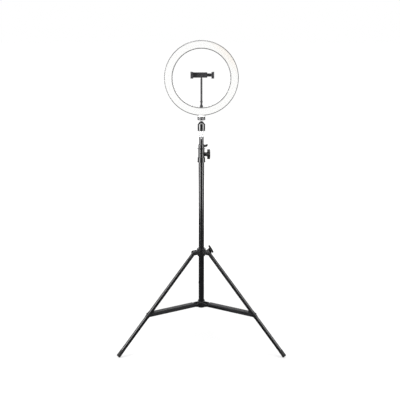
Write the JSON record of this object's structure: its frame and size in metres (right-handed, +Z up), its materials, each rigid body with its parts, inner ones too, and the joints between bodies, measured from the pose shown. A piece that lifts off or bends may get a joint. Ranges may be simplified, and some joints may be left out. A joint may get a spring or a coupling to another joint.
{
  "type": "ring light",
  "caption": "Ring lamp on a ball head with a phone clip inside the ring, on a telescoping column with a folding tripod base.",
  "frame": {"origin": "on the floor, under the column's axis", "axes": "+Z up the column; the lamp faces -Y; +X to the right seen from the front"},
  "size_m": [0.61, 0.5303, 1.11],
  "materials": {
    "white_plastic": "glossy injection moulded ABS",
    "opal_diffuser": "opal acrylic, satin",
    "circuit_board": "white solder mask",
    "led_chips": "phosphor filled resin",
    "screw_steel": "zinc plated steel",
    "brass": "turned brass",
    "chrome": "bright plated steel",
    "inlet_plastic": "moulded black plastic",
    "black_paint": "gloss black anodised",
    "nylon": "natural nylon",
    "tube_paint": "gloss black powder coat",
    "black_plastic": "moulded black ABS",
    "knob_plastic": "moulded black plastic",
    "rivet_steel": "blackened steel",
    "brace_paint": "dark grey painted steel",
    "foot_rubber": "black rubber",
    "clip_plastic": "dark grey moulded plastic"
  },
  "bodies": {
    "stand_column": {"lower_tube": "tube_paint", "lower_tube_plug": "black_plastic", "brace_hub": "black_plastic", "hub_pins": "rivet_steel", "lower_lock_body": "black_plastic", "lower_lock_skirt": "black_plastic", "lower_lock_pad": "nylon"},
    "lower_lock_knob": {"lower_lock_knob": "knob_plastic", "lower_lock_screw": "screw_steel"},
    "middle_tube": {"middle_tube": "tube_paint", "middle_tube_bush": "nylon", "upper_lock_body": "black_plastic", "upper_lock_pad": "nylon"},
    "upper_lock_lever": {"upper_lock_lever": "knob_plastic"},
    "top_tube": {"top_tube": "tube_paint", "top_tube_bush": "nylon", "spigot": "chrome", "spigot_screw": "chrome", "ball_base": "black_paint"},
    "ball_housing": {"ball_housing": "black_paint"},
    "ball_seat": {"ball_seat": "nylon"},
    "ring_head": {"ring_back_shell": "white_plastic", "ring_diffuser": "opal_diffuser", "led_board": "circuit_board", "leds": "led_chips", "ring_screws": "screw_steel", "power_inlet": "inlet_plastic", "neck_insert": "brass", "neck_stud": "screw_steel", "ball": "black_paint", "holder_lock_nut": "black_paint", "holder_stem": "black_paint"},
    "neck_lock_collar": {"neck_lock_collar": "black_paint"},
    "clip_socket": {"clip_socket": "clip_plastic"},
    "clip_collar_nut": {"clip_collar_nut": "clip_plastic"},
    "clip_body": {"clip_body": "clip_plastic", "fixed_jaw_pad": "foot_rubber"},
    "sliding_jaw": {"sliding_jaw": "clip_plastic", "sliding_jaw_pad": "foot_rubber"},
    "leg_collar": {"leg_collar": "black_plastic", "leg_collar_rivets": "rivet_steel", "leg_collar_pad": "nylon"},
    "leg_collar_knob": {"leg_collar_knob": "knob_plastic", "leg_collar_screw": "screw_steel"},
    "brace_right": {"brace_right": "brace_paint"},
    "brace_back": {"brace_back": "brace_paint"},
    "brace_left": {"brace_left": "brace_paint"},
    "leg_right": {"leg_tube_right": "tube_paint", "leg_foot_right": "foot_rubber", "leg_sleeve_right": "black_plastic", "leg_pin_right": "rivet_steel"},
    "leg_back": {"leg_tube_back": "tube_paint", "leg_foot_back": "foot_rubber", "leg_sleeve_back": "black_plastic", "leg_pin_back": "rivet_steel"},
    "leg_left": {"leg_tube_left": "tube_paint", "leg_foot_left": "foot_rubber", "leg_sleeve_left": "black_plastic", "leg_pin_left": "rivet_steel"}
  },
  "joints": [
    {"name": "lower_lock_knob_turn", "type": "hinge", "parent": "stand_column", "child": "lower_lock_knob", "pos_m": [0.03, 0, 0.7105], "axis": [1, 0, 0], "range_deg": [0, 360]},
    {"name": "middle_tube_slide", "type": "slide", "parent": "stand_column", "child": "middle_tube", "axis": [0, 0, 1], "range_m": [0, 0.42]},
    {"name": "upper_lock_lever_turn", "type": "hinge", "parent": "middle_tube", "child": "upper_lock_lever", "pos_m": [0.016, 0, 0.7408], "axis": [1, 0, 0], "range_deg": [0, 180]},
    {"name": "top_tube_slide", "type": "slide", "parent": "middle_tube", "child": "top_tube", "axis": [0, 0, 1], "range_m": [0, 0.42]},
    {"name": "ball_lock_turn", "type": "hinge", "parent": "top_tube", "child": "ball_housing", "pos_m": [0, 0, 0.81], "axis": [0, 0, 1], "range_deg": [0, 90]},
    {"name": "ring_pan", "type": "hinge", "parent": "top_tube", "child": "ball_seat", "pos_m": [0, 0, 0.8225], "axis": [0, 0, 1], "continuous": true},
    {"name": "ring_tilt", "type": "hinge", "parent": "ball_seat", "child": "ring_head", "pos_m": [0, 0, 0.8225], "axis": [1, 0, 0], "range_deg": [-30, 30]},
    {"name": "neck_collar_turn", "type": "hinge", "parent": "ring_head", "child": "neck_lock_collar", "pos_m": [0, 0, 0.84], "axis": [0, 0, 1], "range_deg": [0, 360]},
    {"name": "clip_tilt", "type": "hinge", "parent": "ring_head", "child": "clip_socket", "pos_m": [0, 0, 0.992], "axis": [1, 0, 0], "range_deg": [-8, 8]},
    {"name": "clip_nut_turn", "type": "hinge", "parent": "clip_socket", "child": "clip_collar_nut", "pos_m": [0, 0, 0.986], "axis": [0, 0, 1], "range_deg": [0, 180]},
    {"name": "clip_turn", "type": "hinge", "parent": "clip_socket", "child": "clip_body", "pos_m": [0, -0.012, 0.992], "axis": [0, -1, 0], "range_deg": [-90, 90]},
    {"name": "jaw_slide", "type": "slide", "parent": "clip_body", "child": "sliding_jaw", "axis": [1, 0, 0], "range_m": [-0.015, 0.016]},
    {"name": "leg_fold", "type": "slide", "parent": "stand_column", "child": "leg_collar", "axis": [0, 0, 1], "range_m": [0, 0.27042]},
    {"name": "leg_collar_knob_turn", "type": "hinge", "parent": "leg_collar", "child": "leg_collar_knob", "pos_m": [0.0357, 0.00759, 0.3517], "axis": [0.8637, 0.1836, 0.4695], "range_deg": [0, 360]},
    {"name": "brace_fold_right", "type": "hinge", "parent": "stand_column", "child": "brace_right", "pos_m": [0.02165, -0.0125, 0.139], "axis": [-0.5, -0.866, 0], "range_deg": [0, 88.26]},
    {"name": "brace_fold_back", "type": "hinge", "parent": "stand_column", "child": "brace_back", "pos_m": [0, 0.025, 0.139], "axis": [1, 0, 0], "range_deg": [0, 88.26]},
    {"name": "brace_fold_left", "type": "hinge", "parent": "stand_column", "child": "brace_left", "pos_m": [-0.02165, -0.0125, 0.139], "axis": [-0.5, 0.866, 0], "range_deg": [0, 88.26]},
    {"name": "leg_swing_right", "type": "hinge", "parent": "brace_right", "child": "leg_right", "pos_m": [0.19139, -0.1105, 0.139], "axis": [0.5, 0.866, 0], "range_deg": [0, 131.08]},
    {"name": "leg_swing_back", "type": "hinge", "parent": "brace_back", "child": "leg_back", "pos_m": [0, 0.221, 0.139], "axis": [-1, 0, 0], "range_deg": [0, 131.08]},
    {"name": "leg_swing_left", "type": "hinge", "parent": "brace_left", "child": "leg_left", "pos_m": [-0.19139, -0.1105, 0.139], "axis": [0.5, -0.866, 0], "range_deg": [0, 131.08]}
  ],
  "couplings": [
    {"joint": "brace_fold_right", "follows": "leg_fold", "rad_per_m": 5.6956},
    {"joint": "brace_fold_back", "follows": "leg_fold", "rad_per_m": 5.6956},
    {"joint": "brace_fold_left", "follows": "leg_fold", "rad_per_m": 5.6956},
    {"joint": "leg_swing_right", "follows": "leg_fold", "rad_per_m": 8.4596},
    {"joint": "leg_swing_back", "follows": "leg_fold", "rad_per_m": 8.4596},
    {"joint": "leg_swing_left", "follows": "leg_fold", "rad_per_m": 8.4596}
  ]
}
